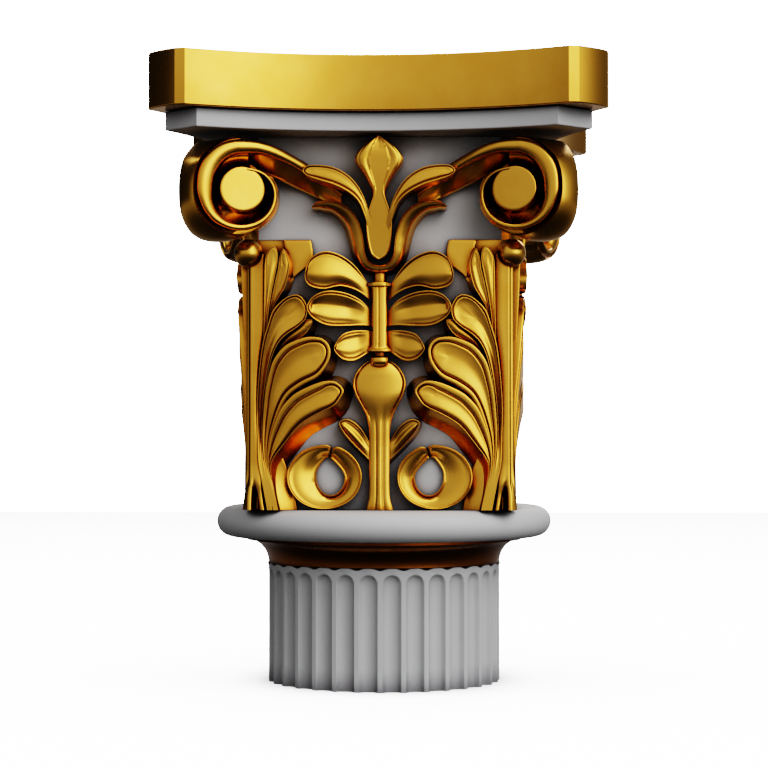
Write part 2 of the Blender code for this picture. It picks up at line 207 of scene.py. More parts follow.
bladeSettings = {    # what a blade has unless its own settings say otherwise
    "steps": 34, "spineEnd": 0.84, "sectionSteps": 64,
    "back": 0.4, "rims": (1.8, 1.8), "skirt": (0, 0), "sink": 0.9, "groove": 2.5, "bowl": 1.5,
    "tipShare": [(0.82, 0), (1, 1)],
    "rimAlong": [(0, 0.5), (0.3, 1), (0.7, 1), (1, 0.6)],
    "plainRoot": [(0, 0), (0.12, 0), (0.4, 1)],
    "roundEnds": [(0, 1), (0.12, 0), (0.78, 0), (1, 1)],
    "wallRings": [(1, 0), (0.55, 0.22), (0.25, 0.5), (0.08, 0.78), (0, 0.9)],
    "rimRings": [0, 0.07, 0.18, 0.32, 0.5, 0.68, 0.82, 0.94],
    "fieldRings": [0, 0.03, 0.06, 0.1, 0.15, 0.22, 0.31, 0.42, 0.55, 0.7, 0.85, 1],
}


def leafBlade(name, leaf):
    plain = bladeSettings
    leaf = {**plain, **leaf}
    count = leaf["steps"]
    outline = evenly(smoothCurve(leaf["upper"] + [leaf["tip"]] + leaf["lower"]), 400)
    tip = min(range(401), key=lambda i: (outline[i] - Vector(leaf["tip"])).length)
    top = evenly(outline[:tip + 1], count)
    under = evenly(outline[:tip - 1:-1], count)
    spine = [a.lerp(b, 0.5) for a, b in zip(top, under)]
    end = round(count * plain["spineEnd"])
    columns = [(top[i], i, 1) for i in range(count)] + [(top[count], count, 0)]
    columns += [(under[i], i, -1) for i in range(count - 1, -1, -1)]
    back, lift, rims, skirts = leaf["back"], leaf["lift"], leaf["rims"], leaf["skirt"]
    sink, groove, bowl = leaf["sink"], leaf["groove"], leaf["bowl"]
    fine = plain["sectionSteps"]
    section = [readCurve(leaf["section"], i / fine) for i in range(fine + 1)]
    outwards = -1 if leaf["tip"][0] < leaf["upper"][0][0] else 1

    def normalAt(k):
        a, b = columns[max(k - 1, 0)][0], columns[min(k + 1, len(columns) - 1)][0]
        along = (b - a).normalized() * outwards
        return Vector((-along.y, along.x))

    def share(k):    # 1 on the upper edge, 0 on the lower one, and half way round the tip
        near = read(plain["tipShare"], columns[k][1] / count)
        return 0.5 + 0.5 * columns[k][2] * (1 - near)

    def wall(spread, height):    # a ring round the outline, on the flared wall
        made = [onFace(spine[0].x, spine[0].y, back + (lift[0] - back) * height)]
        for k, (point, i, _) in enumerate(columns):
            p = point + normalAt(k) * (skirts[0] * share(k) + skirts[1] * (1 - share(k))) * spread
            made.append(onFace(p.x, p.y, back + (flowing(lift, i / count) - back) * height))
        return made

    def inner(q, g, drop):    # a ring inside the outline: q across the rim, then g on to the spine
        made = [onFace(spine[0].x, spine[0].y, lift[0] - drop(0.0, 0.5, 1.0, 1.0))]
        for k, (point, i, side) in enumerate(columns):
            toSpine = spine[min(i, end)] - point
            reach = toSpine.length
            width = (rims[0] * share(k) + rims[1] * (1 - share(k))) * read(plain["rimAlong"], i / count)
            width = min(width, reach * 0.62)
            p = point + toSpine.normalized() * (width * q + (reach - width) * g) if reach else point
            t = (i + (min(i, end) - i) * g) / count
            inwards = (width * q / max(reach, 0.01)) * (1 - g)
            across = 0.5 if side == 0 else 0.5 - 0.5 * side * (1 - inwards - g)
            made.append(onFace(p.x, p.y, flowing(lift, t) - drop(t, across, g * (reach - width), width)))
        return made

    def relief(t):    # plain at the root
        return read(plain["plainRoot"], t)

    def roll(q):    # the rim's own round back
        fall = 0.8 * abs(2 * q - 0.9) ** 5 + (0.35 if q == 0 else 0.0)
        return lambda t, across, past, width: fall * min(1.6, 0.55 * width) * min(1.0, groove) * relief(t)

    def field(t, across, past, width):    # inside the groove
        rounded = read(plain["roundEnds"], t)
        hollow = bowl * (1 - exp(-past / 4)) * rounded
        shaped = section[min(fine, round(across * fine))] * (1 - rounded) + hollow
        deep = sink + (groove - sink) * exp(-(past / 1.1) ** 2)
        return (deep + shaped * (1 - exp(-past / 1.5))) * relief(t)

    rings = [[onFace(p.x, p.y, back) for p in [spine[0]] + [spine[min(c[1], end)] for c in columns]]]
    rings += [wall(spread, height) for spread, height in plain["wallRings"]]
    rings += [inner(q, 0.0, roll(q)) for q in plain["rimRings"]]
    rings += [inner(1.0, g, field) for g in plain["fieldRings"]]
    return skin(name, rings)


# a member that stands up the middle of the face, from its half width and its front at each height

def uprightPiece(name, heights, halves, front, across):
    back, soft = drawing["back"], 0.8
    rings = []
    for z in heights:
        w = readCurve(halves, z)
        edge = front(z, 1.0, w)
        ring = [onFace(-w, z, back), onFace(-w, z, back + (edge - back) * 0.5), onFace(-w, z, edge - soft)]
        for i in range(across + 1):
            q = -cos(pi * i / across)
            ring.append(onFace(w * q, z, front(z, q, w)))
        ring += [onFace(w, z, edge - soft), onFace(w, z, back + (edge - back) * 0.5), onFace(w, z, back)]
        rings.append(ring)
    return skin(name, closed(rings))


def steps(low, high, count):
    return [low + (high - low) * i / count for i in range(count + 1)]


# the ornament on each face

petalSettings = {
    "upper": {"upper": [(6, 207), (18, 228), (29, 239.5), (42, 246.5), (54, 247.8), (65, 241.5)],
        "tip": (70.6, 229.5),
        "lower": [(70.2, 219.5), (64.8, 213.8), (53, 211.5), (39, 214.5), (27, 212.5), (15.5, 207), (6, 199)],
        "lift": [9, 17, 24, 26.5], "back": 0.6, "rims": (1.7, 1.7),
        "section": [(0, 0.8), (0.12, 1.2), (0.34, 0.4), (0.56, -0.7), (0.7, -0.4), (0.88, 1.2), (1, 1.3)]},
    "middle": {"upper": [(5, 187), (16.7, 200.5), (29.3, 207.4), (42.9, 210.2), (54.5, 209.3), (64, 203.8)],
        "tip": (69.2, 195),
        "lower": [(66.3, 187), (58.7, 180.5), (48.2, 176.7), (32.4, 176.4), (16.7, 177.4), (5, 177)],
        "lift": [9, 17, 23, 25.5], "back": 0.7, "bowl": 3, "rims": (1.7, 1.7),
        "section": [(0, 0.5), (0.15, 1.6), (0.33, 3.3), (0.44, 3.9), (0.64, 1.9), (0.75, 1.2), (0.88, 2.2),
            (1, 2.6)]},
    "lower": {"upper": [(5, 171), (15, 172.6), (25.3, 172), (35.8, 168)], "tip": (43.2, 156.5),
        "lower": [(41.6, 150.5), (34.7, 144.3), (25.3, 143), (16.5, 147.2), (5, 156)],
        "lift": [9, 14, 20, 22], "back": 0.8, "bowl": 2, "rims": (1.7, 2.1),
        "section": [(0, 0.5), (0.15, 1.6), (0.3, 2.1), (0.5, 0.9), (0.64, 0.5), (0.84, 1.5), (1, 2)]},
    "small": {"upper": [(6, 57), (13, 71), (20, 81), (30, 87.2)], "tip": (38.5, 84),
        "lower": [(34, 74), (25, 63), (15, 53), (6, 44)], "lift": [9, 13, 17, 18], "back": 0.5,
        "rims": (1.6, 1.2), "skirt": (1, 3), "bowl": 0.8,
        "section": [(0, 0), (0.3, 1.8), (0.6, -0.6), (0.9, 1.4), (1, 1)]},
    "tongue": {"upper": [(6, 272), (9.5, 284), (13.5, 297), (20, 309.5), (29, 319.5), (42, 327), (56, 329.5),
            (68, 328.8)], "tip": (73, 324),
        "lower": [(67.7, 318.8), (55.6, 314.2), (41.7, 309.7), (27.7, 302.2), (19, 293.5), (13.7, 281),
            (9, 268)], "lift": [26, 32, 34, 34], "back": 14, "rims": (1.3, 2.4), "skirt": (0.5, 2),
        "bowl": 0.6, "groove": 1.8, "sink": 0.8, "section": [(0, 0), (0.25, 0.8), (0.6, 0.2), (1, 0.4)]},
}


def makePetals():
    print("petals and leaves of the face ornament")
    return [leafBlade(name, leaf) for name, leaf in petalSettings.items()]


calyxSettings = {
    "steps": 70, "rim": 1.5,
    "line": [(0, 232.4), (7, 233.6), (13, 238.2), (16.4, 246), (17.5, 255), (19.3, 266), (24.4, 279),
        (32.5, 288.2), (43.8, 293.4), (55.5, 293.8), (64.5, 290.6)],
    "half": [(0, 3.3), (0.2, 3.5), (0.55, 3.6), (0.75, 3.1), (0.9, 2.6), (0.97, 1.9), (1, 0.5)],
    "front": [16, 19, 21, 24, 25],
    "flare": [(0, 3), (0.15, 6.5), (0.4, 9), (0.65, 9), (0.85, 6), (1, 2)],
}


def makeCalyx():
    print("calyx")
    c, back = calyxSettings, drawing["back"]
    count = c["steps"]
    line = evenly(smoothCurve(c["line"]), count)
    rings = []
    for i, point in enumerate(line):
        t = i / count
        a, b = line[max(i - 1, 0)], line[min(i + 1, count)]
        along = (b - a).normalized()
        inward = Vector((-along.y, along.x))    # towards the bud
        half, front, flare = read(c["half"], t), flowing(c["front"], t), read(c["flare"], t)
        rim = min(c["rim"], half * 0.5)
        profile = [(half, back), (half, front * 0.5), (half, front - 1.0),
                   (half - 0.3, front - 0.3), (half - rim * 0.5, front), (half - rim, front - 0.4),
                   (half - rim * 1.3, front - 1.5), (half * 0.2, front - 1.7), (-half * 0.3, front - 1.9),
                   (-half * 0.75, front - 2.4), (-half, front - 2.9), (-half - 0.2 * flare, front - 3.8),
                   (-half - 0.42 * flare, front - 5.4), (-half - 0.6 * flare, front - 8.0),
                   (-half - 0.7 * flare, front * 0.42), (-half - 0.82 * flare, front * 0.2),
                   (-half - flare, back)]
        places = [(point + inward * aside, depth) for aside, depth in profile]
        rings.append([onFace(max(p.x, 0.0), p.y, depth) for p, depth in places])
    return skin("calyx", closed(rings))


budSettings = {
    "half": [(240.4, 0.8), (240.9, 3), (242.3, 5.4), (245.2, 7.9), (250, 9.9), (258, 11.4), (268, 12.4),
        (278, 12.7), (286, 11.5), (296, 7.8), (304, 6.2), (310, 8.4), (317, 12.2), (324.5, 17), (330, 21.4),
        (336.5, 22.9), (341, 21.4), (347, 16.4), (354, 8.7), (358.3, 0.5)],
    "ridge": [(240.4, 0.3), (242.3, 3.6), (246, 7.2), (258, 10.2), (268, 11.4), (279, 11.7), (290, 8.6),
        (303, 4.1), (309, 4.2), (318, 6.6), (326, 9), (334, 10.2), (342, 8.8), (350, 5.2), (358.3, 0.3)],
    "front": [(240, 24.6), (270, 26.8), (300, 29.2), (330, 31.4), (346, 32), (358.5, 30)],
}


def makeBud():
    print("bud")

    def front(z, q, w):
        ridge, high = min(readCurve(budSettings["ridge"], z), w - 0.3), readCurve(budSettings["front"], z)
        x = abs(q) * w
        lined = 0.35 * exp(-((ridge - x) / 0.7) ** 2)    # thin rim round the middle field
        if x <= ridge:
            return high - 0.7 + lined + (0.5 if z > 345 else 0.0) * -(1 - x / ridge)
        past = (x - ridge) / max(w - ridge, 0.01)
        lobed = min(1.0, max(0.0, (w - ridge - 1.5) / 5.0))    # the side lobes fade out down the bulb
        lobe = 2.6 - 3.2 * sin(pi * (0.18 + past * 0.62)) + 2.2 * past ** 3
        lobe += 0.5 * exp(-((past - 0.72) / 0.06) ** 2)    # a thin line down the lobe
        edge = 1.2 * exp(-(z - 240.4) / 1.1)    # the bulb is round underneath
        return high - 0.7 + lined - edge - lobed * lobe - (1 - lobed) * 1.8 * past ** 2

    heights = [240.5, 240.7, 241, 241.5, 242.2, 243, 244] + steps(245, 300, 40) + steps(302, 352, 38)
    heights += steps(353, 358.2, 9)
    return uprightPiece("bud", heights, budSettings["half"], front, across=56)


dropSettings = {
    "half": [(0.4, 13), (6, 11.6), (14, 10), (40, 9.8), (72, 10), (84, 11), (93, 13.8), (103, 19.2),
        (113, 24), (123, 25.4), (130, 23.4), (136.5, 19.4), (141, 14.5), (143.4, 10)],
    "front": [(0, 15), (60, 14.5), (84, 15), (112, 17), (130, 16.5), (143.4, 13.5)],
}


def makeDrop():
    print("drop and its stem")

    def front(z, q, w):
        high = read(dropSettings["front"], z)
        inside = w * (1 - abs(q))    # distance in from the edge
        rim = 1.0 * sin(pi * min(inside, 2.4) / 2.4) - 1.1 * exp(-((inside - 2.7) / 0.55) ** 2)
        dome = 2.6 * (1 - min(1.0, abs(q) * w / max(w - 2.6, 1)) ** 2)
        bulb = read([(78, 0.0), (104, 1.0)], z)
        reeds = 1.1 * abs(cos(1.5 * pi * q)) ** 0.5    # three reeds up the stem
        reeds += (0.9 if abs(q) < 1 / 3 else 0.0) * (1 - 9 * q * q)
        return high - 2.4 + (rim + dome) * bulb + (reeds + 0.4 - 1.4 * q * q) * (1 - bulb)

    heights = steps(0.2, 78, 16) + steps(81, 143, 38)
    return uprightPiece("drop", heights, dropSettings["half"], front, across=60)


rodSettings = {
    "steps": 60, "round": 5, "reeded": (157, 214),    # the rows are height, half width and front
    "rows": [(137, 5, 14), (138.2, 7.6, 17.5), (140.5, 8.5, 19.5), (143.5, 8.6, 20.2), (146, 8.2, 19.4),
             (147.2, 6.4, 16), (148, 5.6, 13), (151.3, 5.6, 13), (151.6, 9.6, 19.5), (152.4, 10.6, 21),
             (154.6, 10.6, 21), (155.4, 9.4, 19.8), (157, 8, 19), (158.5, 7.3, 18.8), (212.5, 7.3, 18.8),
             (214, 8, 18.6), (214.3, 9.4, 18.4), (215, 10.6, 20.4), (217.6, 10.6, 20.8),
             (218.6, 9.8, 20), (219, 6.4, 10), (234, 6.4, 8.5)],
}


def makeRod():
    print("rod")
    s, back = rodSettings, drawing["back"]
    count, deep, (low, high) = s["steps"], s["round"], s["reeded"]
    rings = []
    for z, half, front in s["rows"]:
        ring = [onFace(-half, z, back), onFace(-half, z, (front - deep) * 0.6)]
        for i in range(count + 1):
            q = -cos(pi * i / count)
            bulge = sqrt(max(0.0, 1 - q * q))
            if low <= z <= high:    # two flat reeds side by side, the right one wider
                bulge = 1 - 0.22 * q * q - 0.5 * abs(q) ** 12 - 0.2 * exp(-abs((q + 0.12) / 0.09) ** 1.5)
            ring.append(onFace(half * q, z, front - deep + deep * bulge))
        rings.append(ring + [onFace(half, z, (front - deep) * 0.6), onFace(half, z, back)])
    return skin("rod", closed(rings))


curlSettings = {    # middle across and up, and half width and height
    "outer": (53, 31.6, 36.2, 31.2), "hole": (47.4, 31.5, 13.6, 17.2),
    "front": 12, "rise": 3.5, "steps": 96,
}


def makeCurl():
    print("curls")
    c = curlSettings
    x0, z0, wide, high = c["outer"]
    hx, hz, hw, hh = c["hole"]
    rings = []
    count = c["steps"]
    for i in range(count + 1):
        share = i / count
        turn = radians(98 - 356 * share)    # from the slit at the top, round by the stem's side
        co, si = cos(turn), sin(turn)
        cleft = 1 - 0.06 * exp(-(min(share, 1 - share) / 0.012) ** 1.5)
        squeeze = 1 - 0.42 * max(si, 0.0) ** 2    # the hole narrows to its top
        outer = Vector((x0 + wide * co * cleft - 2 * max(si, 0) ** 8, z0 + high * si * cleft))
        inner = Vector((hx + 2.5 * max(si, 0.0) + hw * co * squeeze, hz + hh * si + 1.5 * max(si, 0.0) ** 3))
        front = c["front"] + c["rise"] * read([(0.0, 0.0), (0.5, 0.8), (1.0, 1.0)], share)
        front -= 1.6 * exp(-min(share, 1 - share) / 0.006)
        width = (outer - inner).length
        inward = (inner - outer).normalized()
        lip = 1.0 * max(0.0, -si) ** 0.5 if si < 0 else 0.0
        profile = [(0.0, 0.5), (0.0, front * 0.6), (0.0, front - 1.0), (0.3, front - 0.25), (0.9, front),
                   (1.6, front - 0.35), (2.1, front - 1.3), (2.8, front - 2.0), (width * 0.25, front - 2.2),
                   (width * 0.42, front - 2.6), (width * 0.6, front - 4.4), (width * 0.78, front - 6.6),
                   (width - 2.6, front - 7.9), (width - 1.8, front - 7.9 + lip),
                   (width - 0.9, front - 7.2 + lip), (width - 0.2, front - 7.9 + lip), (width, front - 8.8),
                   (width, 0.5)]
        rings.append([onFace(*(outer + inward * d), depth) for d, depth in profile])
    return skin("curl", closed(rings))


def faceOrnament(gold):
    half = makePetals() + [makeCalyx(), makeCurl()]
    castFour("face_ornament", sideNames, gold, half, otherHalf, [makeBud, makeDrop, makeRod])


# the leaf over each corner

lobeSettings = {
    "bottom": {"upper": [(98.7, 0), (104.2, 25), (107.4, 44), (106.9, 60), (103.4, 77), (96, 95.5), (88, 106),
            (78, 114), (58, 122.6), (43, 123.6)], "tip": (33.9, 115.5),
        "lower": [(36.6, 107.6), (42.9, 100.2), (57.5, 93), (72, 84.8), (80.8, 77), (87.5, 68.5), (95, 58.8),
            (101.2, 50.3), (104.6, 41.5), (102.9, 27), (97.4, 0)], "lift": [14.5, 13.5, 15, 19, 23, 23.5],
        "skirt": (2, 14), "rims": (8, 1.1), "back": 1, "bowl": 0.6,
        "section": [(0, 0.3), (0.3, 1), (0.5, 0.8), (0.8, -0.7), (1, 0.1)]},
    "third": {"upper": [(99.7, 0), (106.8, 25), (111, 46), (112.8, 75), (110.4, 110), (104.4, 138),
            (98.2, 150), (90.5, 158), (82.8, 162), (70.1, 166), (59.1, 165.8), (51.5, 162.8)],
        "tip": (46.6, 154.5),
        "lower": [(48.4, 141.5), (58, 128), (73.5, 119.2), (86.5, 109.6), (94.2, 97.2), (100.6, 79),
            (105.2, 60), (106.8, 44), (104.2, 26), (98.2, 0)], "lift": [14.5, 13.5, 14, 18, 22.5, 23.5],
        "skirt": (1, 9), "rims": (6.5, 5.2), "back": 1.1, "bowl": 0.6,
        "section": [(0, 0.3), (0.3, 1.2), (0.5, 1.3), (0.8, -0.2), (1, 0.3)]},
    "second": {"upper": [(107.8, 0), (112.8, 26), (116.8, 46), (117.6, 70), (118.2, 100), (116, 132),
            (112.2, 160), (107, 178), (102.5, 191), (97.4, 197.2), (90.6, 203), (82.9, 206.4), (75.5, 205.4)],
        "tip": (69.2, 196),
        "lower": [(69.2, 186.5), (71.5, 181.5), (78.8, 175), (89, 168), (96.9, 159.6), (103.4, 145),
            (108.2, 122), (111.4, 95), (112.4, 70), (110.2, 46), (106, 26), (99, 0)],
        "lift": [14.5, 13.5, 12.5, 17, 21.5, 23], "skirt": (1, 3), "rims": (2.8, 1.4), "back": 1.2,
        "bowl": 2.4, "section": [(0, 0.3), (0.25, 1.6), (0.5, 2.6), (0.75, 0.9), (1, 0.2)]},
    "secondFold": {"upper": [(108, 136), (98.8, 158.4), (89.2, 168.8), (79, 176), (71.6, 182.2)],
        "tip": (64.3, 182.4),
        "lower": [(66, 176), (71.5, 168.5), (79, 163.5), (87.6, 158), (95, 147), (104.5, 127)],
        "lift": [9, 13.5, 17.5, 19], "skirt": (0, 6), "rims": (0.9, 0.9), "back": 1, "bowl": -0.8,
        "groove": 0.4, "sink": 0.2, "section": [(0, 0), (0.5, -1.2), (1, 0)]},
    "topOuter": {"upper": [(111.4, 120), (111.6, 165), (110.9, 205), (110.2, 236), (107.6, 247)],
        "tip": (101.6, 253.4),
        "lower": [(97.8, 247), (98.3, 236), (101.6, 219), (104.8, 202), (107.8, 175), (109, 120)],
        "lift": [12, 14.5, 17, 18.5], "skirt": (0, 3), "back": 0.5, "rims": (1.6, 1), "bowl": 0.5,
        "groove": 0.7, "sink": 0.3, "section": [(0, 0), (0.3, 0.2), (0.6, -0.7), (1, 1.2)]},
    "topInner": {"upper": [(108.5, 140), (105.8, 190), (100.9, 217), (97.4, 232), (95.9, 243)],
        "tip": (92.4, 251),
        "lower": [(88, 242.5), (86.3, 232.7), (89.8, 216), (96.6, 204), (102, 193), (106, 165), (106.8, 140)],
        "lift": [9, 13, 16.5, 19], "skirt": (0, 4.5), "back": 0.5, "rims": (1.4, 1.4), "bowl": 0.5,
        "groove": 1, "sink": 0.4, "section": [(0, 0.2), (0.35, 1), (0.7, -0.4), (1, 0.4)]},
}

leafSettings = {
    "plateLeft": [(0, 79.5), (20, 82.5), (38, 88.5), (60, 95), (120, 97), (190, 96.5), (212, 94), (226, 81),
        (238, 66.4), (247, 64.4), (260.4, 66.4)],
    "plateOut": 5,
    "plateRight": [(0, 101), (40, 108), (60, 121), (205, 121), (222, 84), (234, 85.5), (247, 89), (254, 92),
        (260.4, 93.6)],
    "bandLeft": [(0, 107.4), (14, 109.6), (30, 112.8), (48, 116), (68, 116.8), (87, 118), (107, 118),
        (125, 117.4), (145, 115.8), (168, 112.8), (185, 111.2), (215, 111.2), (246, 111.2)],
    "crest": [(0, 14.4), (22, 12.6), (44, 11.2), (247, 11)],
    "arris": [(0, 128.6), (22, 127.2), (46, 126), (247, 126)],
    "strandA": [(0, 125.4), (19, 125), (38, 124.4), (48, 124)],
    "strandB": [(0, 112.6), (19, 115.6), (38, 118.4), (48, 119.6)],
    "parted": [(10, 1), (34, 0)],
    "ball": 13.8,
    "ballOut": 9.2,
    "ballUp": 247,
}


def makeLobes():
    print("lobes of the corner leaf")
    return [leafBlade(name, dict(leaf, steps=48)) for name, leaf in lobeSettings.items()]


def makePlate():
    g = leafSettings
    rings = []
    back, low, out = drawing["back"], 0.9, g["plateOut"]
    for z, drop in [(0, 0)] + [(z, 0) for z in steps(1, 259, 110)] + [(260, 0.3), (260.4, 1.2)]:
        left, right = readCurve(g["plateLeft"], z), read(g["plateRight"], z)
        tilt = 0.40 * max(0.0, 1 - (z / 46) ** 2)    # the foot flares out towards the corner
        end = 124 if z < 50 else 121.5    # inside the midrib
        ring = [onFace(left, z, back), onFace(left, z, out - 1.0), onFace(left + 0.25, z, out - 0.3 - drop)]
        for x in [left + 0.9 + (right - left - 1.5) * i / 12 for i in range(13)]:
            ring.append(onFace(x, z, out - drop + tilt * max(0.0, x - left - 3)))
        for x, depth in [(right, out - 0.4 - drop), (right + 0.4, low + 1.5), (right + 0.6, low), (124, low)]:
            lifted = tilt * max(0.0, right - left - 3) if depth > 3 else 0.0
            ring.append(onFace(min(x, end), z, max(depth, low) + lifted))
        rings.append(ring + [onFace(end, z, back)])
    return skin("plate", closed(rings))


def makeBand():    # the midrib turns the corner, and parts into two strands at its foot
    g = leafSettings
    rings = []
    for z in [0.0, 0.6] + steps(2, 246, 100):
        left, arris, crest = readCurve(g["bandLeft"], z), readCurve(g["arris"], z), read(g["crest"], z)
        low = arris - drawing["half"]
        parted = read(g["parted"], z)
        strandA, strandB = readCurve(g["strandA"], z), readCurve(g["strandB"], z)
        ring = [onFace(left, z, 0.6)]
        for i in range(33):
            u = 0.5 - 0.5 * cos(pi * i / 32)
            x = left + (arris - left) * u
            rounded = 1 - exp(-((arris - x) / 0.9) ** 1.6)    # a fine groove on the corner
            rounded -= 0.30 * exp(-(x - left) / 1.3) + 0.02 * cos(3 * pi * u)
            twin = max(exp(-abs((x - strandA) / 3.4) ** 4),
                       exp(-abs((x - strandB) / 3.7) ** 4) * 0.85)
            floor = 1.5 + (low - 1.5) * (u ** 4 if parted > 0 else 1.0)
            foot = low * (1 - parted) + floor * parted
            ring.append(onFace(x, z, foot + (crest - foot) * (rounded * (1 - parted) + twin * parted)))
        ring += [nextFace(p) for p in reversed(ring[:-1])]
        rings.append(ring + [onFace(drawing["half"] + 0.6, z, 0.6)])
    return skin("midrib", closed(rings))


def makeBall():
    g = leafSettings
    bpy.ops.object.select_all(action="DESELECT")
    place = bellHigh.x + g["ballOut"] * perMm
    bpy.ops.mesh.primitive_uv_sphere_add(segments=40, ring_count=24, radius=g["ball"] * perMm,
                                         location=(place, -place, onFace(0, g["ballUp"], 0).z))
    bpy.ops.object.transform_apply(location=True, rotation=True, scale=True)
    return bpy.context.object


def cornerLeaf(gold):
    print("corner leaves")
    half = makeLobes() + [makePlate()]
    castFour("corner_leaf", cornerNames, gold, half, nextFace, [makeBand, makeBall])


# the scroll under each corner of the abacus; its front face leans back towards the bell. Turns
# are in degrees from the scroll's top, and depths are back from its front face

voluteSettings = {
    "rimSteps": 220, "webSteps": 44, "drumSteps": 96, "eyeSteps": 72,
    "eye": (128, 304.5),
    "faceOut": 56.5,
    "turn": 19,
    "eyeRadius": 20.4,
    "eyeRings": [(0.5, 1, 25), (0.4, 0.8, 17.5), (0.3, 0.55, 11.5), (0.2, 0.3, 6.5), (0.1, 0.1, 3),
        (0, 0, 1.6), (-0.3, 0, 1.3), (-0.9, 0, 1.05), (-2.5, 0, 1), (-10, 0, 1)],
    "eyeSpread": [(0, 0.6), (60, 1.8), (100, 4.8), (150, 1.2), (200, 0.4), (360, 0.6)],
    "floor": 24.5,
    "sloped": [(0, 1), (45, 1), (90, 1.6), (135, 0), (175, -0.6), (270, -0.6), (300, 0), (340, 1),
        (360, 1)],
    "rim": [(0, 41), (25, 40), (50, 37.6), (75, 35.4), (90, 34.8), (110, 35.2), (135, 36.6), (160, 36.8),
        (180, 36.2), (210, 34.8), (240, 32.6), (270, 29.8), (295, 26.4), (315, 23.2), (330, 21),
        (345, 19.6), (355, 19)],
    "rimHalf": [(-60, 4.4), (-30, 5.6), (0, 6.6), (30, 7.2), (60, 7.6), (90, 7.2), (115, 5.6), (135, 4.4),
        (160, 2.8), (180, 2.3), (240, 1.7), (270, 1.4), (315, 1.3), (340, 1.3), (350, 0.6)],
    "stemRoll": [(36, 303), (47, 312), (58, 320), (69, 326.8), (81, 333.4), (95, 339.8), (106, 343.4),
        (117, 345.2)],
    "stemDepth": [(36, 14), (50, 19), (60, 24), (70, 29.5), (80, 35.5), (90, 41.4), (100, 46.2),
        (110, 50.3)],
    "rimDeep": [(-60, 9), (-30, 12), (20, 18), (60, 25), (120, 25), (170, 32), (350, 32)],
    "rimFoot": [(-60, 0.6), (-20, 1.2), (40, 2), (90, 3), (180, 2), (270, 1.6), (330, 0.4)],
    "webLow": [(37, 289), (46, 293), (53, 296.3), (60, 300), (70, 305), (80, 309.6), (90, 314), (100, 318),
        (108, 321), (114, 322.4), (121, 324.2), (130, 325.2)],
    "webHigh": [(37, 304), (47, 312.5), (58, 320.5), (69, 327.3), (81, 333.9), (95, 340.2), (106, 343.6),
        (117, 345.2), (124, 345.6), (134, 344.6)],
    "webFall": [(0, 1), (0.02, 0.93), (0.06, 0.88), (0.1, 0.9), (0.3, 0.72), (0.5, 0.55), (0.7, 0.38),
        (0.85, 0.26), (1, 0.2)],
    "faceRings": [(12, 22), (20.5, 24), (23, 21.5), (26, 17.5), (29, 13.5), (32, 10.5), (-6, 8.9),
        (-4.5, 8), (-2, 6.5), (-0.8, 6.2)],
    "drum": [(0, 49.5), (45, 46), (90, 42), (135, 41.5), (180, 39.5), (225, 37.4), (270, 32.6), (300, 30.5),
        (330, 34), (345, 41), (360, 49.5)],
    "swell": [(0, 0.4), (60, 2), (90, 3), (135, 7), (180, 9), (225, 6), (270, 1), (360, 0.4)],
}


def faceOut(x):    # how far the scroll's front face stands off the bell at a place across it
    v = voluteSettings
    if x < v["stemDepth"][-1][0]:
        return readCurve(v["stemDepth"], x)
    return v["faceOut"] + tan(radians(v["turn"])) * (x - v["eye"][0])


def onScroll(x, z, sinkBy, share=1.0, swell=0.0):    # share is 1 on the front face and -1 on the side one
    p = onFace(x, z, faceOut(x) - sinkBy)
    along, apart = (p.x - p.y) / 2, (-p.y - p.x) / 2
    reach = along + swell * perMm
    return Vector((reach - apart * share, -reach - apart * share, p.z))


def makeDrum():    # the scroll's thickness: two deep faces and the band between them
    v = voluteSettings
    ex, ez = v["eye"]
    columns = v["drumSteps"]

    def ring(radius, sinkBy, share):    # radius in from the drum's edge where it is negative
        made = []
        for i in range(columns):
            turn = 360 * i / columns
            a = radians(turn)
            edge = read(v["drum"], turn)
            r = edge + radius if radius <= 0 else min(radius, edge - 8.0)
            bulge = read(v["swell"], turn) * sqrt(1 - share * share)
            sloped = read(v["sloped"], turn)
            deep = sinkBy if sinkBy < 9 else v["floor"] - (v["floor"] - sinkBy) * sloped
            if deep < v["floor"] and 296 < turn < 350:    # open towards the stem
                deep = v["floor"]
            x, z = ex + r * sin(a), ez + (r + bulge * max(0.0, -cos(a))) * cos(a)
            made.append(onScroll(x, z, deep, share, bulge * max(0.0, sin(a)) * 0.9))
        return made

    faces = []
    for share in (1, -1):
        faces.append([ring(radius, deep, share) for radius, deep in v["faceRings"]])
    band = [ring(0.0, 5.4 if abs(s) > 0.9 else 0.0, s)
            for s in (0.94, 0.84, 0.7, 0.5, 0.25, 0, -0.25, -0.5, -0.7, -0.84, -0.94)]
    return skin("drum", closed(faces[0] + band + faces[1][::-1]))


def rimLine():    # from behind the leaf, up the stem, over the scroll and round to the eye
    v = voluteSettings
    ex, ez = v["eye"]
    line = [Vector(p) for p in v["stemRoll"]]
    for turn in range(6, 350, 4):
        r, a = readCurve(v["rim"], turn), radians(turn)
        line.append(Vector((ex + r * sin(a), ez + r * cos(a))))
    return smoothCurve(line, 4)


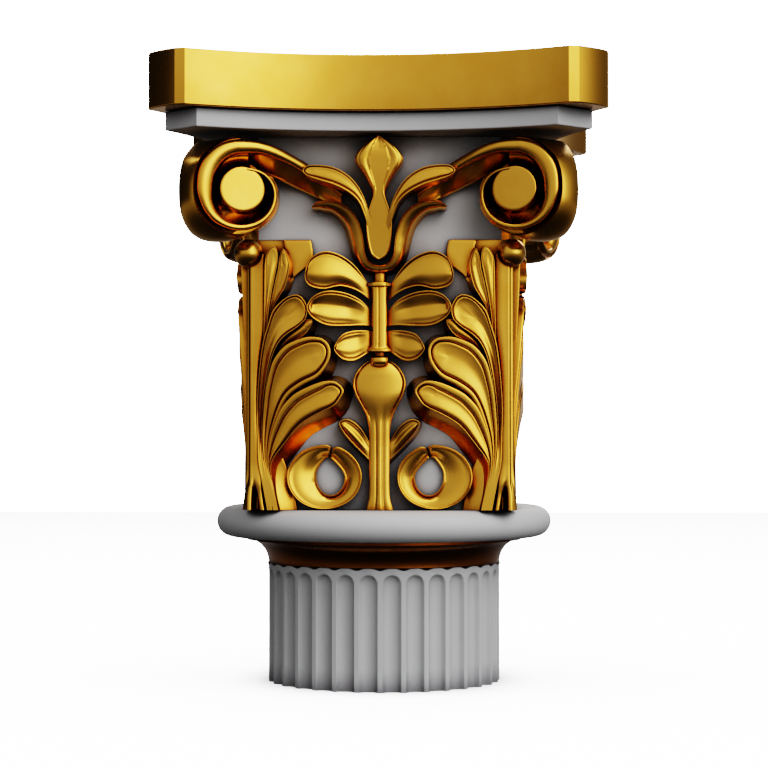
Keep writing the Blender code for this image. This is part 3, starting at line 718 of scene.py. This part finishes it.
def makeRim():
    v = voluteSettings
    ex, ez = v["eye"]
    count = v["rimSteps"]
    line = evenly(rimLine(), count)
    rings = []
    for i, p in enumerate(line):
        a, b = line[max(i - 1, 0)], line[min(i + 1, count)]
        along = (b - a).normalized()
        outward = Vector((-along.y, along.x))
        past = degrees(atan2(p.x - ex, p.y - ez))
        if i > count * 0.5 and past < -2:
            past += 360
        half = read(v["rimHalf"], past) * read([(0.0, 0.45), (0.1, 1.0)], i / count)
        deep, foot = read(v["rimDeep"], past), read(v["rimFoot"], past)
        crown = min(half, 5.2)
        inside = [(-half - foot, deep), (-half - foot * 0.45, deep * 0.55 + 1.0), (-half - 0.15, crown)]
        outside = [(half + 0.1, crown + 0.6), (half + 0.4, deep)]
        places = [(p + outward * aside, sinkBy) for aside, sinkBy in inside]
        for k in range(15):
            turn = pi * (0.06 + 0.88 * k / 14)
            places.append((p - outward * half * cos(turn), crown * (1 - sin(turn)) * 0.9))
        places += [(p + outward * aside, sinkBy) for aside, sinkBy in outside]
        rings.append([onScroll(q.x, q.y, sinkBy) for q, sinkBy in places])
    return skin("rim", closed(rings))


def makeWeb():    # underside of the stem, which falls back from its roll
    v = voluteSettings
    rings = []
    count = v["webSteps"]
    lowEdge, highEdge = (evenly(smoothCurve(v[edge]), count) for edge in ("webLow", "webHigh"))
    for k, (low, high) in enumerate(zip(lowEdge, highEdge)):
        ring = []
        room = min(26.0, faceOut((low.x + high.x) / 2) - 4.0)
        steep = read([(42, 0.4), (74, 1.0)], low.x)    # it turns to the front beside the calyx
        bury = 9.0 * read([(0.8, 0.0), (1.0, 1.0)], k / count)    # and sinks into the channel at its end
        for share, sinkBy in v["webFall"]:
            q = low.lerp(high, share)
            ring.append(onScroll(q.x, q.y, (0.2 + (sinkBy - 0.2) * steep) * room + bury))
        ring += [onFace(high.x, high.y, 0.6), onFace(low.x, low.y, 0.6)]
        rings.append(ring)
    return skin("stem", closed(rings))


def makeEye():    # its rings are radius past the eye's own, share of the spread, and depth
    v = voluteSettings
    ex, ez = v["eye"]
    rings = []
    for grow, flare, sinkBy in v["eyeRings"]:
        ring = []
        for i in range(v["eyeSteps"]):
            turn = 360 * i / v["eyeSteps"]
            a = radians(turn)
            radius = v["eyeRadius"] + grow + flare * read(v["eyeSpread"], turn)
            ring.append(onScroll(ex + radius * sin(a), ez + radius * 1.03 * cos(a), sinkBy))
        rings.append(ring)
    return skin("eye", closed(rings))


def cornerVolute(gold):
    print("corner volutes")
    half = [makeRim(), makeWeb(), makeEye()]
    castFour("corner_volute", cornerNames, gold, half, nextFace, [makeDrum])


# abacus: hollow on four sides, with a full corner between two narrow strips

abacusSettings = {
    "abacus_slab": {"back": 0, "ends": 0.0393, "hollow": 0.0462, "strip": 0.0098, "full": 0.0022},
    "abacus_bed": {"back": 0.0148, "ends": 0.0338, "hollow": 0.0404, "strip": 0, "full": 0},
    "lean": 10,
    "soft": 0.0014,
    "flat": 0.001,    # keeps the flat face flat beside its soft edge
    "sideSteps": 64,
    "cornerSteps": 12,
    "softSteps": 6,
}


def abacusPiece(node, material):
    print("abacus: " + node)
    both = abacusSettings
    a, soft = both[node], both["soft"]
    side, corner, fine = both["sideSteps"], both["cornerSteps"], both["softSteps"]
    low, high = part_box(node)
    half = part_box("abacus_slab")[1].x - a["back"]
    chord = half - a["ends"]
    radius = (chord ** 2 + a["hollow"] ** 2) / (2 * a["hollow"])
    quarter = []
    for i in range(side + 1):
        x = chord * (2 * i / side - 1)
        quarter.append(Vector((x, half - a["hollow"] + radius - sqrt(radius ** 2 - x ** 2), 0)))
    lean = radians(both["lean"])
    first = Vector((chord + a["strip"] * cos(lean), half - a["strip"] * sin(lean), 0))
    second = Vector((first.y, first.x, 0))
    nose = []
    for i in range(corner + 1):
        full = Vector((0.7, 0.7, 0)) * a["full"] * (1 - (2 * i / corner - 1) ** 2)
        nose.append(first.lerp(second, i / corner) + full)
    quarter += nose if a["strip"] else nose[1:-1]
    outline = [Matrix.Rotation(-k * pi / 2, 3, "Z") @ p for k in range(4) for p in quarter]

    def drawnIn(by, z):
        ring = []
        for before, p, after in zip(outline[-1:] + outline, outline, outline[1:] + outline[:1]):
            a, b = (p - before).normalized(), (after - p).normalized()
            out = Vector((-a.y - b.y, a.x + b.x, 0)) / (1 + a.dot(b))
            ring.append(p - out * by + Vector((0, 0, z)))
        return ring

    edge = [(soft + both["flat"], 0.0)]
    for k in range(fine + 1):
        turn = pi / 2 * k / fine
        edge.append((soft * (1 - sin(turn)), soft * (1 - cos(turn))))
    rings = [drawnIn(by, low.z + up) for by, up in edge]
    rings += [drawnIn(by, high.z - up) for by, up in reversed(edge)]
    piece = skin("cut_" + node, closed(rings))
    smooth(20)
    dress(piece, node, material)


# turned pieces and the fluted shaft

turnedSettings = {"around": 180, "steps": 24, "lip": 0.003}


def turnedPiece(name, node, profile, material):
    turns = [tau * i / turnedSettings["around"] for i in range(turnedSettings["around"])]
    rings = [[Vector((r * cos(a), r * sin(a), z)) for a in turns] for r, z in profile]
    piece = skin(name, closed(rings))
    smooth(40)
    dress(piece, node, material)


def makeRing(stone):
    print("ring")
    low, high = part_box("astragal_ring")
    half = (high.z - low.z) / 2
    count = turnedSettings["steps"]
    profile = []
    for i in range(count + 1):
        turn = pi * (i / count - 0.5)
        profile.append((high.x - half + half * cos(turn), low.z + half + half * sin(turn)))
    turnedPiece("turned_ring", "astragal_ring", profile, stone)


def makeCove(gold):
    print("cove")
    low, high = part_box("necking_cove")
    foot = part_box("fluted_shaft")[1].x
    count, lip = turnedSettings["steps"], turnedSettings["lip"]
    out, up = high.x - foot, high.z - low.z - lip
    profile = []
    for i in range(count + 1):
        turn = pi / 2 * i / count
        profile.append((foot + out * (1 - cos(turn)), low.z + up * sin(turn)))
    profile += [(high.x, high.z - lip * 0.6), (high.x, high.z - lip * 0.2), (high.x - 0.0008, high.z)]
    turnedPiece("turned_cove", "necking_cove", profile, gold)


shaftSettings = {
    "flutes": 32, "perFlute": 20, "depth": 0.0058, "land": 0.0062, "headDrop": 0.0068, "scallop": 0.0022,
    "lip": 0.0016, "topEdge": 0.0012, "inside": 0.0002, "low": [0, 0.03, 0.06, 0.085],
}


def makeShaft(stone):
    print("fluted shaft")
    s = shaftSettings
    low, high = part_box("fluted_shaft")
    radius = high.x
    around = s["flutes"] * s["perFlute"]
    pitch = tau / s["flutes"]
    half = (pitch * radius - s["land"]) / 2
    headTop = high.z - s["headDrop"]
    heights = s["low"] + steps(0.094, headTop - 0.0002, 22)
    heights += [headTop + up for up in (0.0008, 0.0020, 0.0034)]
    heights += [high.z - down for down in (0.0014, 0.0006, 0.0)]
    rings = []
    for z in heights:
        ring = []
        for i in range(around):
            angle = tau * i / around
            place = (angle / pitch) % 1.0    # flutes centred between lands
            aside = abs(place - 0.5) * pitch * radius
            up = max(0.0, z - (headTop - half))
            near = hypot(aside, up) / half
            dip = s["depth"] * sqrt(max(0.0, 1 - near * near))
            toTop = max(0.0, (z - headTop) / (high.z - headTop))
            wave = cos(2 * pi * (place - 0.5))
            lip = s["lip"] * toTop ** 2 * (0.5 + 0.5 * wave)
            if z >= high.z:
                lip -= s["topEdge"]
            drop = s["scallop"] * toTop * (0.5 - 0.5 * wave) ** 2
            r = radius - s["inside"] - dip + lip
            ring.append(Vector((r * cos(angle), r * sin(angle), z - drop)))
        rings.append(ring)
    piece = skin("carved_shaft", closed(rings))
    smooth(40)
    dress(piece, "fluted_shaft", stone)


# materials

class Socket:    # a value in a node tree that can be added, multiplied and so on
    def __init__(self, maker, link):
        self.maker = maker
        self.link = link

    def maths(self, operation, *others):
        values = dict(enumerate([self, *others]))
        return self.maker.node("Math", {"operation": operation}, values)[0]

    def __add__(self, other):
        return self.maths("ADD", other)

    __radd__ = __add__

    def __sub__(self, other):
        return self.maths("SUBTRACT", other)

    def __rsub__(self, other):
        return self.maker.node("Math", {"operation": "SUBTRACT"}, {0: other, 1: self})[0]

    def __mul__(self, other):
        return self.maths("MULTIPLY", other)

    __rmul__ = __mul__


class Tree:    # adds nodes to a material or to the world
    def __init__(self, tree):
        self.tree = tree

    def node(self, kind, settings=None, values=None):
        made = self.tree.nodes.new("ShaderNode" + kind)
        for key, value in (settings or {}).items():
            if key == "stops":
                for i, (place, colour) in enumerate(value):
                    stops = made.color_ramp.elements
                    stop = stops[i] if i < len(stops) else stops.new(place)
                    stop.position, stop.color = place, colour
            else:
                setattr(made, key, value)
        for key, value in (values or {}).items():
            self.plug(made.inputs[key], value)
        return [Socket(self, out) for out in made.outputs]

    def ramp(self, stops, factor):
        return self.node("ValToRGB", {"stops": stops}, {"Fac": factor})[0]

    def plug(self, socket, value):
        if isinstance(value, Socket):
            self.tree.links.new(value.link, socket)
        else:
            socket.default_value = value


class Finish(Tree):    # a material
    def __init__(self, name):
        self.material = bpy.data.materials.new(name)
        self.material.use_nodes = True
        super().__init__(self.material.node_tree)
        self.shader = self.tree.nodes["Principled BSDF"]

    def noise(self, scale, detail=3.0):
        place = self.node("TexCoord")[3]
        values = {"Vector": place, "Scale": scale, "Detail": detail, "Roughness": 0.55}
        return self.node("TexNoise", {}, values)[0]

    def blend(self, factor, first, second):
        return self.node("Mix", {"data_type": "RGBA"}, {0: factor, 6: first, 7: second})[2]

    def paintedShade(self, colour, stops, reach):    # painted shade: darker in the hollows and creases where shadow gathers; reach is how far the painted dark spreads
        openness = self.node("AmbientOcclusion", {"samples": 6}, {"Distance": reach})[1]
        values = {0: 1.0, 6: colour, 7: self.ramp(stops, openness)}
        return self.node("Mix", {"data_type": "RGBA", "blend_type": "MULTIPLY"}, values)[2]

    def bump(self, strength, height):
        values = {"Strength": strength, "Distance": 0.0003, "Height": height}
        self.set(Normal=self.node("Bump", {}, values)[0])

    def set(self, **values):
        for key, value in values.items():
            self.plug(self.shader.inputs[key.replace("_", " ")], value)


goldSettings = {
    "satin_gold_leaf": {"bright": (0.93, 0.49, 0.088, 1), "deep": (0.82, 0.37, 0.042, 1), "reach": 0.011},
    # the same gold painted darker as shade for the cove under the ring, with a wider painted shade in its
    # hollows
    "painted_shade_gold_leaf": {"bright": (0.32, 0.12, 0.018, 1), "deep": (0.24, 0.075, 0.01, 1), "reach": 0.05},
    "cloud": (34, 4), "fine": (900, 2),
    "rough": 0.24,
    "bump": 0.12,
    # painted shade: how dark the gold is painted by how shut in each spot is
    "hollowShade": [(0, (0.01, 0.002, 0.0005, 1)), (0.3, (0.07, 0.016, 0.003, 1)), (0.5, (0.2, 0.08, 0.026, 1)),
        (0.7, (0.7, 0.53, 0.4, 1)), (0.87, (1, 1, 1, 1))],
}


def satinGold(name):
    finish = Finish(name)
    g, own = goldSettings, goldSettings[name]
    cloud, fine = finish.noise(*g["cloud"]), finish.noise(*g["fine"])
    leafed = finish.blend(cloud, own["bright"], own["deep"])
    # base colour darkened in the hollows by painted shade
    finish.set(Base_Color=finish.paintedShade(leafed, g["hollowShade"], own["reach"]), Metallic=1.0)
    finish.set(Roughness=cloud * 0.10 + fine * 0.05 + (g["rough"] - 0.07))
    finish.bump(g["bump"], cloud * 0.6 + fine * 0.4)
    return finish.material


stoneSettings = {
    "light": (0.42, 0.42, 0.425, 1),
    "dark": (0.355, 0.355, 0.36, 1),
    "cloud": (22, 5), "grain": (1400, 2),
    "rough": 0.62,
    "bump": 0.18,
    "reach": 0.024,
    "shade": [(0, (0.02, 0.02, 0.025, 1)), (0.4, (0.17, 0.17, 0.18, 1)), (0.62, (0.62, 0.62, 0.63, 1)),
        (0.84, (1, 1, 1, 1))],
}


def greyStone():
    finish = Finish("grey_plaster")
    s = stoneSettings
    cloud, grain = finish.noise(*s["cloud"]), finish.noise(*s["grain"])
    plain = finish.blend(cloud * 0.7 + grain * 0.3, s["light"], s["dark"])
    # painted shade on the stone in its hollows and beside the castings
    finish.set(Base_Color=finish.paintedShade(plain, s["shade"], s["reach"]))
    finish.set(Roughness=cloud * 0.12 + (s["rough"] - 0.06))
    finish.bump(s["bump"], grain * 0.7 + cloud * 0.3)
    return finish.material


# floor, light and camera

floorSettings = {"light": (0.8, 0.8, 0.8, 1), "dark": (0.78, 0.78, 0.78, 1), "cloud": 3, "size": 8}


def makeFloor():
    print("floor")
    bpy.ops.object.select_all(action="DESELECT")
    bpy.ops.mesh.primitive_plane_add(size=floorSettings["size"], location=(0, 0, 0))
    floor = bpy.context.object
    floor.name = "floor"
    finish = Finish("pale_floor")
    cloud = finish.noise(floorSettings["cloud"])
    finish.set(Base_Color=finish.blend(cloud, floorSettings["light"], floorSettings["dark"]), Roughness=0.9)
    wear(floor, finish.material)
    floor.visible_diffuse = floor.visible_glossy = False    # the floor's own light stays off the object
    return floor


lampSettings = [    # name, azimuth to the right, height angle, distance, size across, size up, watts
    ("key", 40, 30, 3, 3.4, 2.4, 58),
    ("top", 5, 82, 2.6, 2.4, 1.6, 20),
    ("fill", -62, 14, 3, 2, 2, 8),
    ("left", -108, 46, 3, 1, 1, 5),
    ("back", 168, 30, 3, 2.4, 1.6, 30),
    ("floor", 0, 88, 4, 4, 4, 3300),
]

roomSettings = {
    "around": [(-180, 0.6), (-170, 0.5), (-154, 0.08), (-140, 0.01), (-78, 0.015), (-64, 0.16), (-50, 0.42),
        (-28, 0.5), (-12, 0.56), (0, 0.66), (12, 0.92), (28, 2.4), (44, 2.8), (58, 1.7), (73, 0.7),
        (90, 0.24), (106, 0.1), (135, 0.1), (158, 0.5), (180, 0.6)],
    "level": [(-0.17, 0), (-0.05, 1)],
    "even": 0.44,
    "upwards": [(-1, 0.02), (-0.6, 0.06), (-0.4, 0.22), (-0.2, 0.4), (-0.08, 0.62), (0.02, 0.92),
        (0.25, 1), (0.7, 1.05), (1, 0.9)],
    "backdrop": 14,
    "look": "High Contrast",
}


def makeRoom():    # what the gold mirrors: bright on the right, dark on the left and below
    world = bpy.data.worlds.new("studio")
    bpy.context.scene.world = world
    world.use_nodes = True
    room = Tree(world.node_tree)
    x, y, z = room.node("SeparateXYZ", {}, {"Vector": room.node("TexCoord")[0]})
    azimuth, up = x.maths("ARCTAN2", y * -1.0) * (0.5 / pi) + 0.5, z * 0.5 + 0.5

    def grey(name, reach, factor):    # a ramp of greys over plus and minus reach
        stops = [((at + reach) / (2 * reach), (v, v, v, 1)) for at, v in roomSettings[name]]
        return room.ramp(stops, factor)

    share = grey("level", 1, up)    # below the level, even light on all sides
    light = grey("around", 180, azimuth) * share + (1.0 - share) * roomSettings["even"]
    light = light * grey("upwards", 1, up)
    seen = room.node("LightPath")[0]
    values = {0: seen, 2: light, 3: roomSettings["backdrop"]}
    shown = room.node("Mix", {"data_type": "FLOAT"}, values)[0]
    room.plug(room.tree.nodes["Background"].inputs["Strength"], shown)
    room.tree.nodes["Background"].inputs["Color"].default_value = (1.0, 1.0, 1.0, 1)


def lightStudio(floor):
    print("light")
    onlyFloor = bpy.data.collections.new("lit_floor")
    onlyFloor.objects.link(floor)
    aim = Vector((0, 0, 0.36))
    for name, azimuth, height, distance, wide, tall, power in lampSettings:
        a, e = radians(azimuth), radians(height)
        away = Vector((sin(a) * cos(e), -cos(a) * cos(e), sin(e)))
        bpy.ops.object.light_add(type="AREA", location=aim + away * distance)
        lamp = bpy.context.object
        lamp.name = name
        lamp.data.shape = "ELLIPSE"
        lamp.data.size, lamp.data.size_y = wide, tall
        lamp.data.energy = power
        lamp.rotation_euler = away.to_track_quat("Z", "Y").to_euler()
        lamp.visible_glossy = name not in ("fill", "key")    # the room gives the gold its soft highlights
        if name == "floor":
            lamp.light_linking.receiver_collection = onlyFloor
    makeRoom()
    bpy.context.scene.view_settings.view_transform = "Filmic"
    bpy.context.scene.view_settings.look = roomSettings["look"]


cameraSettings = {"place": (0.0736, -2.238, 0.264), "aim": (0, 0, 0.3), "lens": 103}


def makeCamera():
    place, aim = Vector(cameraSettings["place"]), Vector(cameraSettings["aim"])
    bpy.ops.object.camera_add(location=place, rotation=(place - aim).to_track_quat("Z", "Y").to_euler())
    camera = bpy.context.object
    camera.data.lens = cameraSettings["lens"]
    camera.data.sensor_width = 36.0
    camera.data.clip_start = 0.05
    bpy.context.scene.camera = camera


def main():
    makeCamera()
    gold, stone = satinGold("satin_gold_leaf"), greyStone()
    wear(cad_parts["bell"], stone)
    faceOrnament(gold)
    cornerLeaf(gold)
    cornerVolute(gold)
    abacusPiece("abacus_slab", gold)
    abacusPiece("abacus_bed", stone)
    makeRing(stone)
    # the cove wears the gold painted darker as shade
    makeCove(satinGold("painted_shade_gold_leaf"))
    makeShaft(stone)
    lightStudio(makeFloor())


main()
